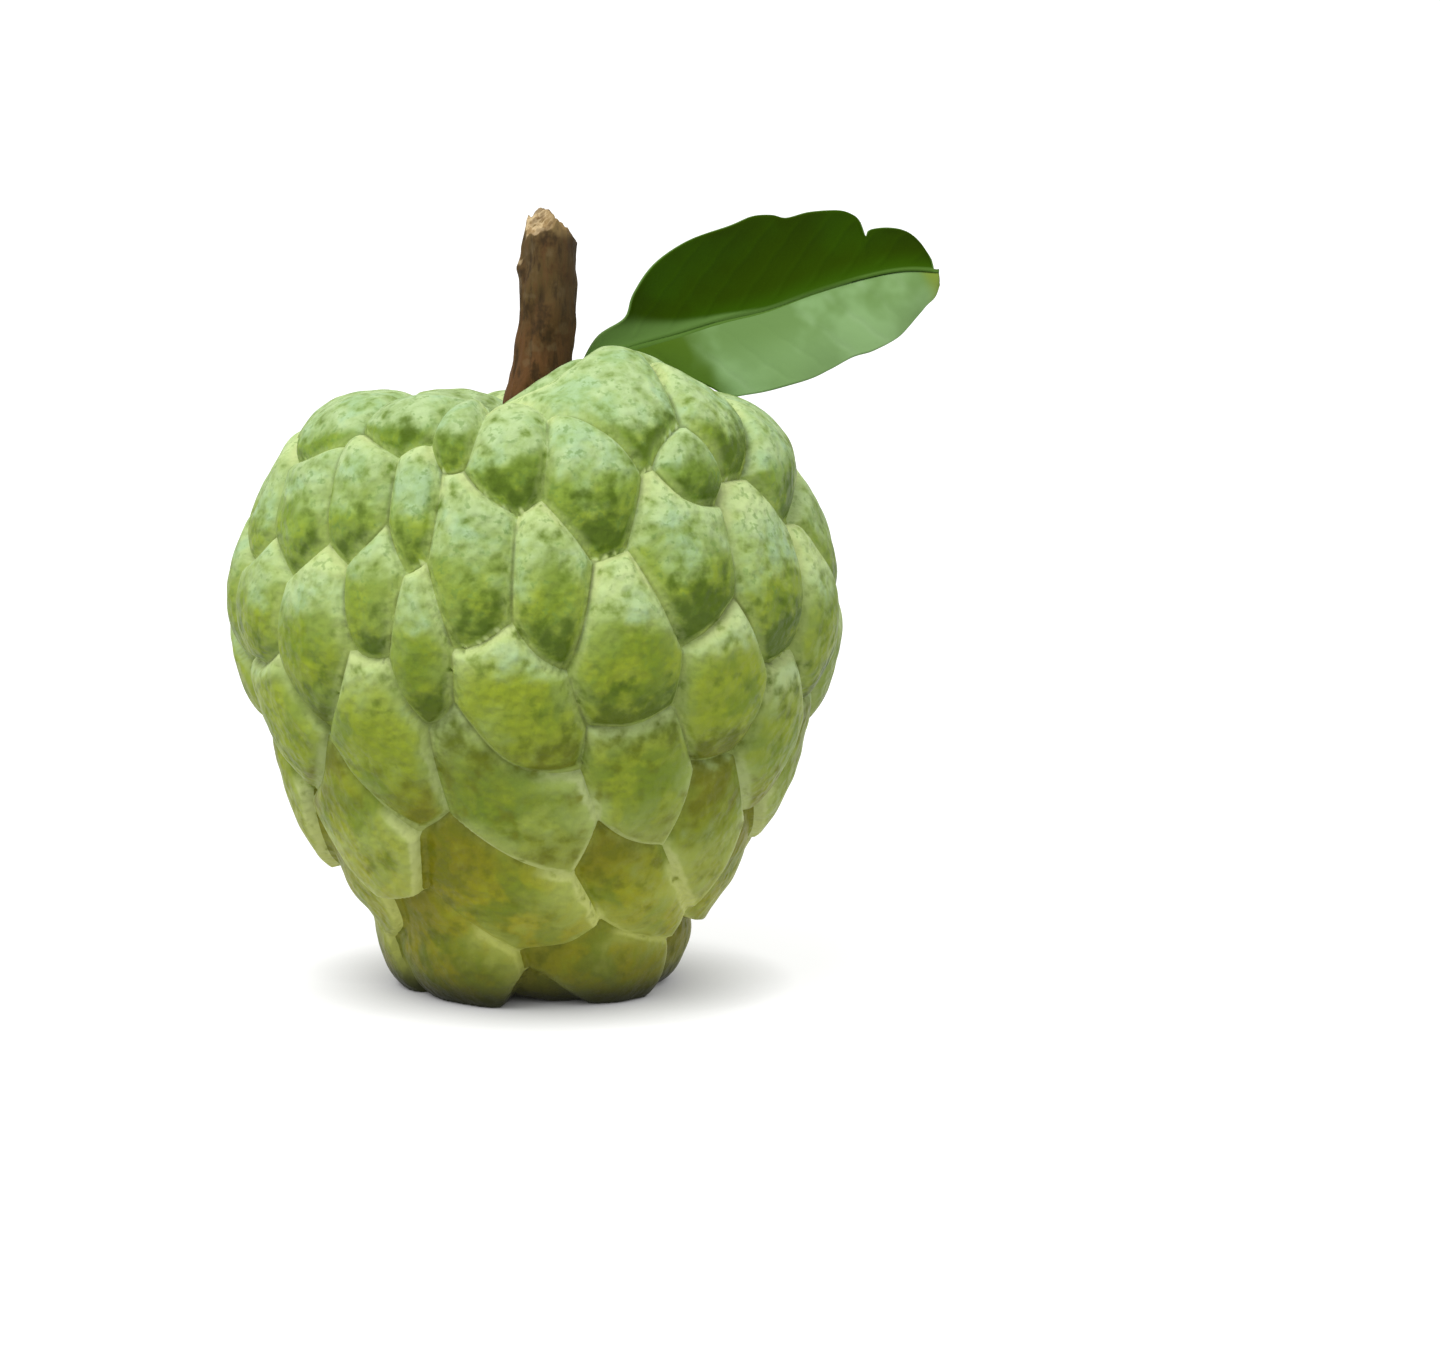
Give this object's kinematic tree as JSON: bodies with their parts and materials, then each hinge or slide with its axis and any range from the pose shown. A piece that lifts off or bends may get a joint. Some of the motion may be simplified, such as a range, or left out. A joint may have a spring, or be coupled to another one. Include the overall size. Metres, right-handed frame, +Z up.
{
  "type": "custard apple",
  "caption": "Whole heart-shaped custard apple with overlapping rounded lobes all over its skin, a stout woody stem and a folded green leaf.",
  "frame": {"origin": "on the plane that the fruit rests on, under the fruit's axis, in the middle of the flat on its blossom end", "axes": "+Z up along the fruit's axis, towards the stem; -Y to the fruit's front, the side that the picture shows; +X towards the leaf"},
  "size_m": [0.0922, 0.0789, 0.1002],
  "materials": {
    "fruit_skin": "matte pebbled green skin with a pale grey-green bloom, olive undersides and pale cream seams between its lobes",
    "stem_bark": "rough dark brown bark with lengthwise cracks, and pale torn wood at its end",
    "leaf_blade": "satin, dark green on one half and paler green on the other, with fine veins and a pale midrib"
  },
  "bodies": {
    "root": {"fruit": "fruit_skin", "stem": "stem_bark", "leaf": "leaf_blade"}
  },
  "joints": []
}
